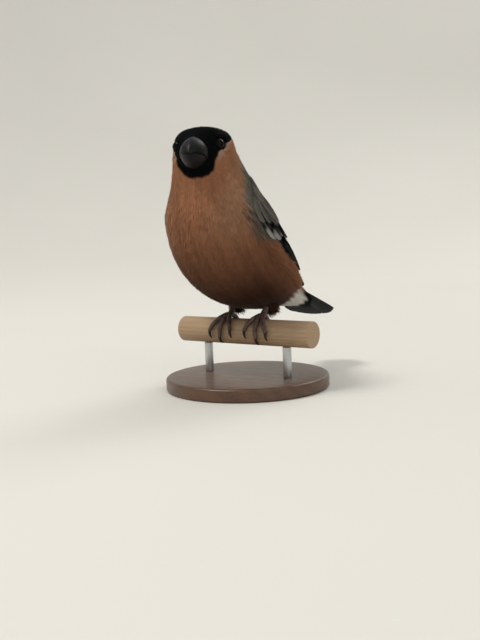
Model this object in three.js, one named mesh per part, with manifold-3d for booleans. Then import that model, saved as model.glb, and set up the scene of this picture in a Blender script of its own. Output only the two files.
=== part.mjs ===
// A life-size male bullfinch that grips a short dowel on a plain display stand.
// Millimetres, +Z up. The bird faces -Y and its left side is +X.
// The origin is the middle of the base's underside.
import * as THREE from "three";
import { mergeVertices } from "three/addons/utils/BufferGeometryUtils.js";
import Module from "manifold-3d";

const wasm = await Module();
wasm.setup();

// Driving sizes
const GAP = 0.3;
const DEG = Math.PI / 180;
const WELD = 1e-3;
const FINEST = 0.045;

const BASE_RADIUS = 38;
const BASE_HEIGHT = 6;
const BASE_EDGE = 1.2;
const BASE_SIDES = 36;
const ROD_RADIUS = 2;
const ROD_SPACING = 44;
const PERCH_RADIUS = 6;
const PERCH_LENGTH = 72;
const PERCH_TOP = 32;
const PERCH_Z = PERCH_TOP - PERCH_RADIUS;

// Stations of the trunk from inside the head to the end of the tail coverts: the centre (y, z),
// the half width, and the depth to the back and to the belly, square to the line of centres.
const TRUNK = [
  { y: -27.4, z: 117.4, wide: 0, back: 0, belly: 0 },
  { y: -27.4, z: 113.2, wide: 12, back: 11.2, belly: 11 },
  { y: -27, z: 105.6, wide: 14.2, back: 14.5, belly: 12.8 },
  { y: -25, z: 98.4, wide: 16.2, back: 17.4, belly: 15.4 },
  { y: -22.5, z: 91.5, wide: 19.6, back: 18.5, belly: 19.4 },
  { y: -18.5, z: 80.5, wide: 24.4, back: 18.8, belly: 24.4 },
  { y: -11, z: 68.5, wide: 27, back: 17.2, belly: 25.3 },
  { y: -0.5, z: 58.5, wide: 26.4, back: 16.4, belly: 22.6 },
  { y: 12, z: 50.8, wide: 21.4, back: 13.2, belly: 16.4 },
  { y: 25, z: 45.4, wide: 14.4, back: 9.6, belly: 10.6 },
  { y: 37, z: 40.9, wide: 9.8, back: 6.8, belly: 6.8 },
  { y: 47.5, z: 37, wide: 7, back: 4, belly: 4.4 },
  { y: 54, z: 34.2, wide: 0, back: 0, belly: 0 },
];
const TRUNK_AROUND = 28;
const TRUNK_ALONG = 32;
const BACK_NARROWING = 0.24;
const NECK_TOP = 3.55;
const NECK_BOTTOM = 4.6;

const HEAD = { y: -28, z: 105.6, turn: 23 * DEG };
const FACE = { forward: 4.2, up: -0.4, long: 10.4, wide: 10, tall: 10 };

const EYE_RADIUS = 3;
const EYE = { forward: 6.5, side: 8.3, up: 3.2 };
const EYE_LOOK = { forward: 0.56, side: 0.8, up: 0.2 };
const LID_RADIUS = 3.05;
const LID_THICK = 0.6;
const LID_OUT = 1.35;

const BILL_ROOT = 7;
const BILL_TIP = 23;
const BILL_WIDE = 5.8;
const BILL_TOP = 6.6;
const BILL_BOTTOM = 5.9;
const BILL_UP = -0.6;
const BILL_DROOP = -0.5;
const BILL_POINT = 0.58;
const MOUTH_LINE = [
  [-2, -5.5],
  [11, -4.6],
  [14, -2.4],
  [19, -0.5],
  [22, -0.3],
  [26, -1.2],
];
const NOSTRIL = { forward: 14.6, side: 2.6, up: 4.6, radius: 0.7 };

const TAIL_LENGTH = 53;
const TAIL_SLOPE = 25.5 * DEG;
const TAIL_ROLL = 6 * DEG;
const TAIL_ROOT = { y: 24, z: 49.5 };
const TAIL_PAIRS = 6;
const TAIL_TILT = 0.14;
const TAIL_ROUNDING = 0.27;
const TAIL_SPREAD = [0.8, 1.9];
const TAIL_STEP = [0.25, 0.2];
const TAIL_HALF = 3.4;

const WING_LIFT = 0.4;
const VANE_TILT = 0.26;
const LONG_VANE = 1.5;

const FOOT_SIDE = 9;
const TOE_RADIUS = 1.05;
const TOE_SHAPE = [1.25, 1.05, 1.1, 0.95, 0.95];
const CLAW_RADII = [0.8, 0.6, 0.2];
const TARSUS_RADIUS = 1.15;
const SHANK_SHAPE = [1.2, 1, 1.1];
const ANKLE = { y: 9, z: 44 };
const FOOT_TOP = PERCH_TOP + GAP + TOE_RADIUS + 0.3;
// Each toe from the foot to the claw's root, in degrees round the perch, its drift sideways, and
// the turn of its claw: the middle, inner and outer toes in front, and the hind toe
const TOES = [
  { from: -10, to: 105, drift: 1, claw: 38 },
  { from: -8, to: 78, drift: -5, claw: 34 },
  { from: -8, to: 84, drift: 6.5, claw: 34 },
  { from: 8, to: -78, drift: -0.5, claw: 44 },
];
const THIGH = { side: 9.5, y: 6.5, z: 41.5, wide: 5, deep: 6, tall: 6.3 };

// Colours of the parts
const PAINT = {
  cap: { color: 0x0d0e12, roughness: 0.55 },
  breast: { color: 0xb05a38, roughness: 0.9 },
  horn: { color: 0x1b1b1e, roughness: 0.35 },
  eye: { color: 0x090606, roughness: 0.08 },
  wing: { color: 0x15161b, roughness: 0.5 },
  leg: { color: 0x4a3730, roughness: 0.6 },
  wood: { color: 0xa98460, roughness: 0.75 },
  base: { color: 0x5a3f2b, roughness: 0.5 },
  steel: { color: 0xb5b8bb, roughness: 0.3, metalness: 1 },
};

// A closed geometry as a solid with its faces pointing out
function solidOf(geometry) {
  const bare = geometry.clone();
  bare.deleteAttribute("normal");
  bare.deleteAttribute("uv");
  const merged = mergeVertices(bare, WELD);
  const triVerts = new Uint32Array(merged.index.array);
  const vertProperties = merged.attributes.position.array;
  const made = new wasm.Manifold(new wasm.Mesh({ numProp: 3, vertProperties, triVerts }));
  if (made.volume() > 0) return made;
  for (let i = 0; i < triVerts.length; i += 3) {
    [triVerts[i + 1], triVerts[i + 2]] = [triVerts[i + 2], triVerts[i + 1]];
  }
  return new wasm.Manifold(new wasm.Mesh({ numProp: 3, vertProperties, triVerts }));
}

function geometryOf(solid) {
  const { numProp, vertProperties, triVerts } = solid.getMesh();
  const places = new Float32Array((vertProperties.length / numProp) * 3);
  for (let i = 0; i < places.length / 3; i++) {
    places.set(vertProperties.subarray(i * numProp, i * numProp + 3), i * 3);
  }
  const made = new THREE.BufferGeometry();
  made.setAttribute("position", new THREE.BufferAttribute(places, 3));
  made.setIndex(new THREE.BufferAttribute(triVerts, 1));
  made.computeVertexNormals();
  return made;
}

// Moves each vertex of a geometry to the point that shape() gives for it
function warp(geometry, shape) {
  const places = geometry.attributes.position;
  for (let i = 0; i < places.count; i++) {
    const to = shape(new THREE.Vector3().fromBufferAttribute(places, i));
    places.setXYZ(i, to.x, to.y, to.z);
  }
  return geometry;
}

function union(solids) {
  return solids.reduce((whole, piece) => whole.add(piece));
}

// The largest closed surface of a solid, without the scraps that a cut leaves
function largest(solid) {
  return solid.decompose().sort((a, b) => b.volume() - a.volume())[0];
}

const mix = (a, b, t) => a + (b - a) * t;

// The trunk's surface: u counts stations, angle runs from the back (0) over the left side to the belly.
// Sizes are blended by their squares, which rounds both ends off.
const last = TRUNK.length - 1;
const curveOf = (pick) => new THREE.CatmullRomCurve3(TRUNK.map(pick), false, "catmullrom", 0.5);
const axis = curveOf((s) => new THREE.Vector3(0, s.y, s.z));
const girth = curveOf((s) => new THREE.Vector3(s.wide ** 2, s.back ** 2, s.belly ** 2));

function trunkPoint(u, angle, lift = 0) {
  const t = THREE.MathUtils.clamp(u / last, 0, 1);
  const centre = axis.getPoint(t);
  const along = axis.getTangent(t);
  const size = girth.getPoint(t);
  const deep = Math.sqrt(Math.max(0, Math.cos(angle) > 0 ? size.y : size.z)) + lift;
  const back = new THREE.Vector3(0, -along.z, along.y);
  const narrow = 1 - BACK_NARROWING * Math.max(0, Math.cos(angle)) * Math.sin(Math.PI * t);
  centre.x = (Math.sqrt(Math.max(0, size.x)) + lift) * Math.sin(angle) * narrow;
  return centre.addScaledVector(back, deep * Math.cos(angle));
}

function trunk(lift) {
  const ball = new THREE.SphereGeometry(1, TRUNK_AROUND, TRUNK_ALONG);
  return solidOf(
    warp(ball, (p) => {
      const fraction = Math.acos(THREE.MathUtils.clamp(p.y, -1, 1)) / Math.PI;
      const u = last * mix(fraction, (1 - p.y) / 2, 0.5);
      return trunkPoint(u, Math.atan2(p.x, p.z), u > 0 && u < last ? lift : 0);
    }),
  );
}

// A point of the head's frame: forward along the bill, to the bird's left, and up
function headPoint(forward, side, up) {
  return new THREE.Vector3(
    forward * Math.sin(HEAD.turn) + side * Math.cos(HEAD.turn),
    HEAD.y - forward * Math.cos(HEAD.turn) + side * Math.sin(HEAD.turn),
    HEAD.z + up,
  );
}

// The face, which swells from the round head towards the bill
function face(lift) {
  const ball = new THREE.SphereGeometry(1, 18, 12);
  const { forward, up, long, wide, tall } = FACE;
  return solidOf(
    warp(ball, (p) => {
      const ahead = forward + p.z * (long + lift);
      return headPoint(ahead, p.x * (wide + lift), up + p.y * (tall + lift));
    }),
  );
}

function ballAt(centre, radius, around = 16, along = 12) {
  return solidOf(new THREE.SphereGeometry(radius, around, along).translate(...centre.toArray()));
}

// The lids: a low ring that stands out round the eye
function lids(side) {
  const ring = new THREE.TorusGeometry(LID_RADIUS, LID_THICK, 6, 18);
  const out = new THREE.Vector3(EYE_LOOK.forward, EYE_LOOK.side, EYE_LOOK.up).normalize();
  const turn = new THREE.Quaternion().setFromUnitVectors(new THREE.Vector3(0, 0, 1), out);
  return solidOf(
    warp(ring, (p) => {
      const at = p.applyQuaternion(turn).addScaledVector(out, LID_OUT);
      return headPoint(EYE.forward + at.x, side * (EYE.side + at.y), EYE.up + at.z);
    }),
  );
}

// The whole bill, before the mouth parts it: stout, rounded and a little pointed
function bill() {
  const ball = new THREE.SphereGeometry(1, 20, 16);
  return solidOf(
    warp(ball, (p) => {
      const t = (p.z + 1) / 2;
      const forward = mix(BILL_ROOT, BILL_TIP, t);
      const ring = Math.max(1e-6, 1 - p.z ** 2);
      const slim = p.z > 0 ? ring ** (BILL_POINT - 0.5) : 1;
      const tall = p.y > 0 ? BILL_TOP : BILL_BOTTOM;
      const fall = BILL_DROOP * t ** 3;
      return headPoint(forward, p.x * slim * BILL_WIDE, BILL_UP + p.y * slim * tall - fall);
    }),
  );
}

// All that lies above the mouth's line, or below it, as a block
function besideMouth(above) {
  const sign = above ? 1 : -1;
  const far = 20;
  const line = MOUTH_LINE.map(([f, u]) => new THREE.Vector2(f, u + (sign * GAP) / 2));
  const shape = new THREE.Shape(line);
  shape.lineTo(line.at(-1).x, sign * far);
  shape.lineTo(line[0].x, sign * far);
  const block = new THREE.ExtrudeGeometry(shape, { depth: 2 * far, bevelEnabled: false });
  return solidOf(warp(block, (p) => headPoint(p.x, p.z - far, p.y)));
}

// A feather: a thin diamond section that follows path(t) and is pinched to its tip
const VANE_OUTLINE = new THREE.CatmullRomCurve3(
  [
    [0, 0.45],
    [0.3, 0.85],
    [0.62, 1],
    [0.86, 0.86],
    [0.97, 0.5],
    [1, 0.16],
  ].map(([t, w]) => new THREE.Vector3(t, w, 0)),
);

function vane({ path, normal, half, thick = 1, tilt = 0, steps = 5 }) {
  const blade = new THREE.CylinderGeometry(1, 1, 1, 4, steps);
  return solidOf(
    warp(blade, (p) => {
      const { x: t, y: width } = VANE_OUTLINE.getPoint(0.5 - p.y);
      const at = path(t);
      const along = path(Math.min(t + 0.01, 1.01)).sub(path(t - 0.01)).normalize();
      const out = normal(t).addScaledVector(along, -along.dot(normal(t))).normalize();
      const across = new THREE.Vector3().crossVectors(out, along);
      const rise = p.z * thick * mix(0.5, 0.32, t) - p.x * half * width * tilt;
      return at.addScaledVector(across, p.x * half * width).addScaledVector(out, rise);
    }),
  );
}

// A feather of the wing, from root to tip over the trunk's surface. Its lower edge stands out,
// and its upper edge is tucked under the next feather up.
function wingVane({ root, tip, lift, half, steps }) {
  const path = (t) =>
    trunkPoint(mix(root[0], tip[0], t), mix(root[1], tip[1], t) * DEG, mix(lift[0], lift[1], t));
  const normal = (t) => {
    const u = mix(root[0], tip[0], t);
    const angle = mix(root[1], tip[1], t) * DEG;
    const along = trunkPoint(u + 0.05, angle).sub(trunkPoint(u - 0.05, angle));
    const round = trunkPoint(u, angle + 0.03).sub(trunkPoint(u, angle - 0.03));
    return round.cross(along).normalize();
  };
  return vane({ path, normal, half, tilt: VANE_TILT, steps });
}

// Tiers of the folded wing, each from its uppermost feather to its lowest:
// u and angle of the roots and of the tips, the height over the skin, and the half width
const tier = (count, root, tip, lift, half) => ({ count, root, tip, lift, half });
const TIERS = {
  primaries: tier(6, [[7.2, 58], [6.8, 84]], [[9.5, 42], [10.9, 20]], [0.5, 1.8], 2.7),
  secondaries: tier(6, [[6.3, 48], [5.5, 98]], [[8.6, 30], [8.3, 62]], [1, 1.5], 3.3),
  tertials: tier(3, [[6.2, 28], [6.4, 42]], [[7.9, 20], [8.9, 27]], [1.6, 2.3], 4),
  greater: tier(7, [[5.7, 34], [4.8, 101]], [[7.1, 27], [5.85, 99]], [1.2, 2], 3.7),
  median: tier(7, [[5.3, 36], [4.6, 98]], [[6.2, 32], [5.4, 99]], [1.3, 2.1], 4.1),
  lesser: tier(6, [[4.85, 40], [4.45, 92]], [[5.5, 36], [4.95, 97]], [0.9, 1.9], 4.6),
};
const ARM = { from: 4.75, to: 7.1, upper: 33, lower: 93, thick: 0.7, swell: 0.7 };

function wing() {
  const core = new THREE.BoxGeometry(1, 1, 1, 7, 6, 1);
  const arm = solidOf(
    warp(core, (p) => {
      const edge = 2 * p.x;
      const rim = 2 * p.y;
      const u = mix(ARM.from, ARM.to, p.x + 0.5);
      const angle = mix(ARM.upper, ARM.lower - 3 * edge, p.y + 0.5) * DEG;
      const swell = ARM.thick + ARM.swell * (1 - edge ** 4) * (1 - rim ** 4);
      return trunkPoint(u, angle, WING_LIFT + (p.z < 0 ? 0 : swell));
    }),
  );
  const vanes = Object.values(TIERS).flatMap(({ count, root, tip, lift, half }) =>
    Array.from({ length: count }, (_, i) => {
      const k = i / (count - 1);
      const between = ([from, to]) => [mix(from[0], to[0], k), mix(from[1], to[1], k)];
      const steps = tip[0][0] - root[0][0] > LONG_VANE ? 4 : 3;
      return wingVane({ root: between(root), tip: between(tip), lift, half, steps });
    }),
  );
  return union([arm, ...vanes]);
}

// The closed tail: twelve vanes, the middle pair on top, rolled a little to show its underside
function tail() {
  const along = new THREE.Vector3(0, Math.cos(TAIL_SLOPE), -Math.sin(TAIL_SLOPE));
  const out = new THREE.Vector3(0, Math.sin(TAIL_SLOPE), Math.cos(TAIL_SLOPE));
  const across = new THREE.Vector3().crossVectors(out, along).negate();
  for (const direction of [across, out]) direction.applyAxisAngle(along, -TAIL_ROLL);
  const root = new THREE.Vector3(0, TAIL_ROOT.y, TAIL_ROOT.z);
  const vanes = [];
  for (let i = 0.5 - TAIL_PAIRS; i < TAIL_PAIRS; i++) {
    const far = Math.abs(i);
    const path = (t) =>
      root
        .clone()
        .addScaledVector(along, t * (TAIL_LENGTH - TAIL_ROUNDING * far * far))
        .addScaledVector(across, i * mix(...TAIL_SPREAD, t))
        .addScaledVector(out, -mix(...TAIL_STEP, t) * far);
    const tilt = Math.sign(i) * TAIL_TILT;
    vanes.push(vane({ path, normal: () => out.clone(), half: TAIL_HALF, tilt }));
  }
  return union(vanes);
}

// A tapered limb through points, as a warped cylinder
function limb(points, radii, around = 7, steps = 7) {
  const line = new THREE.CatmullRomCurve3(points);
  const rod = new THREE.CylinderGeometry(1, 1, 1, around, steps);
  const frame = (t) => {
    const along = line.getTangent(t);
    const across = new THREE.Vector3(1, 0, 0).addScaledVector(along, -along.x).normalize();
    return [across, new THREE.Vector3().crossVectors(across, along)];
  };
  return solidOf(
    warp(rod, (p) => {
      const t = 0.5 - p.y;
      const [across, out] = frame(t);
      const k = t * (radii.length - 1);
      const i = Math.min(Math.floor(k), radii.length - 2);
      const radius = mix(radii[i], radii[i + 1], k - i);
      const at = line.getPoint(t).addScaledVector(across, p.x * radius);
      return at.addScaledVector(out, p.z * radius);
    }),
  );
}

// A toe and its claw, bent round the perch. Angles run from the top of the perch towards the front.
function toe({ from, to, drift, claw }) {
  const clear = PERCH_RADIUS + GAP + 0.1;
  const round = (angle, height, x) => {
    const away = clear + height;
    return new THREE.Vector3(x, -Math.sin(angle) * away, PERCH_Z + Math.cos(angle) * away);
  };
  const x = (t) => FOOT_SIDE + drift * t;
  const steps = [0, 0.25, 0.5, 0.75, 1];
  const walk = steps.map((t) => round(mix(from, to, t) * DEG, TOE_RADIUS + 0.15 * Math.sin(t * 9), x(t)));
  const tip = to + Math.sign(to - from) * claw;
  const hook = [0, 0.5, 1].map((t) =>
    round(mix(to, tip, t) * DEG, mix(TOE_RADIUS, 0.15, t) + 0.5 * Math.sin(t * Math.PI), x(1)),
  );
  return union([
    limb(walk, TOE_SHAPE.map((r) => r * TOE_RADIUS)),
    limb(hook, CLAW_RADII, 6, 5),
  ]);
}

function leg() {
  const foot = new THREE.Vector3(FOOT_SIDE, 1, FOOT_TOP);
  const ankle = new THREE.Vector3(FOOT_SIDE + 1, ANKLE.y, ANKLE.z);
  const middle = foot.clone().lerp(ankle, 0.5);
  const shank = limb([foot, middle, ankle], SHANK_SHAPE.map((r) => r * TARSUS_RADIUS), 7, 4);
  return union([shank, ...TOES.map(toe)]);
}

function thigh(lift) {
  const ball = new THREE.SphereGeometry(1, 14, 10);
  const { side, y, z, wide, deep, tall } = THIGH;
  const size = new THREE.Vector3(wide + lift, deep + lift, tall + lift);
  return solidOf(warp(ball, (p) => p.multiply(size).add(new THREE.Vector3(side, y, z))));
}

// The trunk and the head are one body, parted by thin cuts across the neck
const eyes = [1, -1].map((side) => ({
  side,
  centre: headPoint(EYE.forward, side * EYE.side, EYE.up),
}));
const flesh = union([trunk(0), face(0), ...eyes.map(({ side }) => lids(side))]);
const fleshClear = union([trunk(GAP), face(GAP)]);

// The two sides of a thin cut square to the trunk, at station u
function cutAt(u) {
  const centre = axis.getPoint(u / last);
  const along = axis.getTangent(u / last);
  const big = 200;
  const turn = new THREE.Quaternion().setFromUnitVectors(new THREE.Vector3(0, 0, 1), along);
  const half = (sign) =>
    solidOf(
      warp(new THREE.BoxGeometry(big, big, big), (p) => {
        p.z += sign * (big + GAP) * 0.5;
        return p.applyQuaternion(turn).add(centre);
      }),
    );
  return { before: half(-1), after: half(1) };
}

const top = cutAt(NECK_TOP);
const bottom = cutAt(NECK_BOTTOM);
const eyeSockets = union(eyes.map(({ centre }) => ballAt(centre, EYE_RADIUS + GAP)));
const mirrored = (solid) => solid.mirror([1, 0, 0]);
const thighSocket = thigh(GAP);

const head = largest(flesh.intersect(top.before).subtract(eyeSockets));
const neck = largest(flesh.intersect(top.after).intersect(bottom.before));
const tailSolid = tail();
const thighSockets = union([thighSocket, mirrored(thighSocket)]);
const torso = largest(flesh.intersect(bottom.after).subtract(thighSockets));
const wholeBill = bill().subtract(fleshClear);
const nostrilAt = (side) => headPoint(NOSTRIL.forward, side * NOSTRIL.side, NOSTRIL.up);
const nostrils = union([1, -1].map((side) => ballAt(nostrilAt(side), NOSTRIL.radius, 8, 6)));
const billUpper = largest(wholeBill.intersect(besideMouth(true)).subtract(nostrils));
const billLower = largest(wholeBill.intersect(besideMouth(false)));

const root = new THREE.Group();
const bird = new THREE.Group();
const stand = new THREE.Group();
root.add(bird, stand);

function add(group, name, solid, paint) {
  const welded = largest(solidOf(geometryOf(largest(solid).simplify(FINEST))));
  const mesh = new THREE.Mesh(geometryOf(welded), new THREE.MeshStandardMaterial(PAINT[paint]));
  mesh.name = name;
  group.add(mesh);
}

add(bird, "head", head, "cap");
add(bird, "neck", neck, "breast");
add(bird, "torso", torso, "breast");
add(bird, "bill_upper", billUpper, "horn");
add(bird, "bill_lower", billLower, "horn");
add(bird, "tail", largest(tailSolid.subtract(fleshClear)), "wing");
const leftParts = {
  wing: [wing().subtract(fleshClear), "wing"],
  thigh: [thigh(0), "breast"],
  leg: [leg().subtract(thighSocket).subtract(fleshClear), "leg"],
};
for (const [name, [solid, paint]] of Object.entries(leftParts)) {
  add(bird, `${name}_left`, solid, paint);
  add(bird, `${name}_right`, mirrored(solid), paint);
}
for (const { side, centre } of eyes) {
  add(bird, side > 0 ? "eye_left" : "eye_right", ballAt(centre, EYE_RADIUS, 14, 10), "eye");
}

// The stand
function standPiece(name, geometry, paint, x, y, z) {
  const mesh = new THREE.Mesh(geometry, new THREE.MeshStandardMaterial(PAINT[paint]));
  mesh.name = name;
  mesh.position.set(x, y, z);
  stand.add(mesh);
}

const baseProfile = [
  [0, 0],
  [BASE_RADIUS - BASE_EDGE / 2, 0],
  [BASE_RADIUS, BASE_EDGE / 2],
  [BASE_RADIUS, BASE_HEIGHT - BASE_EDGE],
  [BASE_RADIUS - BASE_EDGE, BASE_HEIGHT],
  [0, BASE_HEIGHT],
].map(([x, y]) => new THREE.Vector2(x, y));
standPiece("stand_base", new THREE.LatheGeometry(baseProfile, BASE_SIDES).rotateX(Math.PI / 2), "base", 0, 0, 0);
const perchRound = new THREE.CylinderGeometry(PERCH_RADIUS, PERCH_RADIUS, PERCH_LENGTH, 32);
standPiece("perch", perchRound.rotateZ(Math.PI / 2), "wood", 0, 0, PERCH_Z);
const rodLength = PERCH_TOP - 2 * PERCH_RADIUS - BASE_HEIGHT - 2 * GAP;
for (const [word, x] of [["left", ROD_SPACING / 2], ["right", -ROD_SPACING / 2]]) {
  const rod = new THREE.CylinderGeometry(ROD_RADIUS, ROD_RADIUS, rodLength, 16).rotateX(Math.PI / 2);
  standPiece(`stand_rod_${word}`, rod, "steel", x, 0, BASE_HEIGHT + GAP + rodLength / 2);
}

export default root;
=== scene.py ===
"""A life-size model of a bullfinch on a small stand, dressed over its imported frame."""
import itertools
import math

import bpy
import numpy as np
from mathutils import Matrix, Vector


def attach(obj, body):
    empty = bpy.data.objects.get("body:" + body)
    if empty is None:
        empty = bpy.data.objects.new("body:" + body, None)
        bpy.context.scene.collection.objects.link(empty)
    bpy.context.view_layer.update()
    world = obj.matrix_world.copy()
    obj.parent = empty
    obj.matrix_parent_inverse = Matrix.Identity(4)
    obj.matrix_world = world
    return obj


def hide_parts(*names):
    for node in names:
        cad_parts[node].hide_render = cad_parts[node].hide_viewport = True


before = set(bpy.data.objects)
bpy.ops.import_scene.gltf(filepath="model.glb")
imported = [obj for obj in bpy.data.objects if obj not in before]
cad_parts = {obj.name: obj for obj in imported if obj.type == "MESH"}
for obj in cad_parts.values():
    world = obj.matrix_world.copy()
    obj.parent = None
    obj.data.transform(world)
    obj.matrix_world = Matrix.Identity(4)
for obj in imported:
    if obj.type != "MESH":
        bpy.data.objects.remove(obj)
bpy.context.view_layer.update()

# Lengths below are millimetres; meshes are made in metres
MM = 0.001
rng = np.random.default_rng(7)

# The trunk's stations, as the solids have them: centre y and z, half width, depth to back and belly
TRUNK = np.array([
    (-27.4, 117.4, 0, 0, 0),
    (-27.4, 113.2, 12, 11.2, 11),
    (-27, 105.6, 14.2, 14.5, 12.8),
    (-25, 98.4, 16.2, 17.4, 15.4),
    (-22.5, 91.5, 19.6, 18.5, 19.4),
    (-18.5, 80.5, 24.4, 18.8, 24.4),
    (-11, 68.5, 27, 17.2, 25.3),
    (-0.5, 58.5, 26.4, 16.4, 22.6),
    (12, 50.8, 21.4, 13.2, 16.4),
    (25, 45.4, 14.4, 9.6, 10.6),
    (37, 40.9, 9.8, 6.8, 6.8),
    (47.5, 37, 7, 4, 4.4),
    (54, 34.2, 0, 0, 0),
], float)
LAST = len(TRUNK) - 1
BACK_NARROWING = 0.24
HEAD_Y, HEAD_Z, HEAD_TURN = -28.0, 105.6, math.radians(23)

THIGH = (9.5, 6.5, 39)
EYE_RADIUS = 3.0
EYE = (6.5, 8.3, 3.2)
EYE_LOOK = (0.56, 0.8, 0.2)

BILL_START, BILL_ROOT, BILL_TIP = 8.2, 7.0, 23.0
BILL_WIDE, BILL_TOP, BILL_BOTTOM = 5.8, 6.6, 5.9
BILL_UP, BILL_DROOP = -0.6, 0.3
MOUTH = np.array([
    (-2, -5.5), (11, -4.6), (14, -2.9), (17, -1.6), (19.5, -0.9),
    (21.4, -0.6), (22.4, -0.9), (23, -1.4), (26, -3),
], float)
MOUTH_GAP = 0.15
NOSTRIL = (14.6, 2.6, 4.6)

TAIL_ROOT = (24.0, 49.5)
TAIL_SLOPE, TAIL_ROLL = math.radians(25.5), math.radians(6)
TAIL_LENGTH, TAIL_ROUNDING = 53.0, 0.27

FOOT_SIDE, TOE_RADIUS, TARSUS_RADIUS = 9.0, 1.05, 1.15

PERCH_RADIUS, PERCH_LENGTH, PERCH_Z, PERCH_EDGE = 6.0, 72.0, 26.0, 0.5
BASE_RADIUS, BASE_HEIGHT, BASE_EDGE = 38.0, 6.0, 1.2
ROD_RADIUS, ROD_SIDE, ROD_EDGE = 2.0, 22.0, 0.25
ROD_LOW, ROD_HIGH = 6.05, 19.95

# The camera, set from the photograph
CAMERA_AT = (222.5, -322.4, 76.6)
CAMERA_TURN, CAMERA_PITCH, CAMERA_ROLL = 35.0, 6.58, 2.05
CAMERA_LENS = 47.81


def srgb(r, g, b):
    """A display colour of 0 to 255 as linear light."""
    c = np.array([r, g, b], float) / 255
    return np.where(c <= 0.04045, c / 12.92, ((c + 0.055) / 1.055) ** 2.4)


BLACK = srgb(7, 8, 10)
ORANGE = srgb(156, 107, 79)
# Painted shade: the orange darkened for the lower belly, where less light reaches underneath
ORANGE_PAINTED_SHADE = srgb(54, 33, 23)
ORANGE_GREYISH = srgb(158, 120, 92)
CHEEK_EDGE = srgb(166, 147, 130)
GREY = srgb(98, 95, 88)
WHITE = srgb(222, 218, 210)
FLIGHT = srgb(9, 10, 13)
DARK_EDGE = srgb(30, 31, 37)
BAR = srgb(172, 170, 166)
SOFT_GREY = srgb(100, 96, 89)
EDGE_GREY = srgb(113, 108, 100)
PUPIL, IRIS, EYE_RIM = srgb(3, 3, 4), srgb(18, 11, 8), srgb(5, 5, 5)
BILL_DARK, BILL_PALE = srgb(7, 7, 8), srgb(19, 19, 20)
CLAW_DARK, CLAW_PALE = srgb(26, 22, 21), srgb(70, 60, 56)
LEG_DARK, LEG_PALE = srgb(58, 42, 38), srgb(104, 80, 70)
PERCH_DARK, PERCH_PALE = srgb(150, 123, 95), srgb(184, 157, 126)
BASE_DARK, BASE_PALE = srgb(58, 38, 26), srgb(104, 70, 46)
STEEL_DARK, STEEL_PALE = (0.42, 0.43, 0.44), (0.62, 0.63, 0.64)
FLOOR_DARK, FLOOR_PALE = (0.7, 0.692, 0.655), (0.735, 0.727, 0.69)


def smooth(a, b, x):
    """0 on a's side and 1 on b's, with a soft step between; a may be the larger."""
    t = np.clip((x - a) / (b - a), 0, 1)
    return t * t * (3 - 2 * t)


def span(limits, x):
    """1 between the inner two of four limits, going softly to 0 at the outer two."""
    start, whole, fading, end = limits
    return smooth(start, whole, x) * smooth(end, fading, x)


def mix(a, b, t):
    return a + (b - a) * t


def size(v):
    return np.linalg.norm(v, axis=-1)


def unit(v):
    return v / np.maximum(size(v), 1e-9)[..., None]


def full_turn(count):
    return np.linspace(0, 2 * math.pi, count, endpoint=False)


def flatten(v, normal):
    """The direction of v along the surface that has this normal."""
    return unit(v - normal * (v * normal).sum(-1, keepdims=True))


# The trunk's surface

STEPS_A_STATION = 100
BEND_BLUR = 0.45
BLURRED = (0.9, 1.8, 10.4, 11.4)


def smooth_curve(values, u):
    """The Catmull-Rom curve through values, at u from 0 to the last one's index."""
    last = len(values) - 1
    u = np.clip(np.asarray(u, float), 0, last)
    k = np.minimum(u.astype(int), last - 1)
    w = (u - k)[..., None]
    ends = np.vstack([2 * values[0] - values[1], values, 2 * values[-1] - values[-2]])
    p0, p1, p2, p3 = (ends[k + i] for i in range(4))
    m1, m2 = (p2 - p0) / 2, (p3 - p1) / 2
    a, b = 2 * p1 - 2 * p2 + m1 + m2, -3 * p1 + 3 * p2 - 2 * m1 - m2
    return ((a * w + b) * w + m1) * w + p1


def soft_stations():
    """The trunk's centre and squared sizes at fine steps, with the bends at its stations blurred."""
    u = np.linspace(0, LAST, STEPS_A_STATION * LAST + 1)
    raw = smooth_curve(np.hstack([TRUNK[:, :2], TRUNK[:, 2:] ** 2]), u)
    width = BEND_BLUR * STEPS_A_STATION
    reach = int(3 * width)
    kernel = np.exp(-0.5 * (np.arange(-reach, reach + 1) / width) ** 2)
    kernel /= kernel.sum()
    padded = np.pad(raw, ((reach, reach), (0, 0)), mode="edge")
    soft = np.stack([np.convolve(column, kernel, "valid") for column in padded.T], 1)
    return u, mix(raw, soft, span(BLURRED, u)[:, None])


TABLE_U, TABLE = soft_stations()
TABLE_SLOPE = np.gradient(TABLE[:, :2], TABLE_U, axis=0)


def trunk_section(u):
    """The trunk's centre, its direction and its sizes at stations u."""
    at = [np.interp(u, TABLE_U, column) for column in (*TABLE.T, *TABLE_SLOPE.T)]
    sizes = np.sqrt(np.maximum(np.stack(at[2:5], -1), 0))
    return np.stack(at[:2], -1), unit(np.stack(at[5:], -1)), sizes


def narrowing(u, cosine):
    """How much narrower the trunk is towards the back than an ellipse would be."""
    return 1 - BACK_NARROWING * np.maximum(0, cosine) * np.sin(np.pi * np.clip(u / LAST, 0, 1))


def trunk_point(u, angle, lift=0.0):
    """A point over the trunk: angle 0 is the back, 90 the left side, 180 the belly, in degrees."""
    u, angle, lift = np.broadcast_arrays(np.asarray(u, float), np.radians(angle), lift)
    centre, along, sizes = trunk_section(u)
    cosine = np.cos(angle)
    deep = np.where(cosine > 0, sizes[..., 1], sizes[..., 2]) + lift
    x = (sizes[..., 0] + lift) * np.sin(angle) * narrowing(u, cosine)
    y = centre[..., 0] - along[..., 1] * deep * cosine
    z = centre[..., 1] + along[..., 0] * deep * cosine
    return np.stack([x, y, z], -1)


def tailward(u, angle, step=0.06):
    """The way along the trunk's surface from head to tail."""
    return trunk_point(u + step, angle) - trunk_point(u - step, angle)


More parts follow.
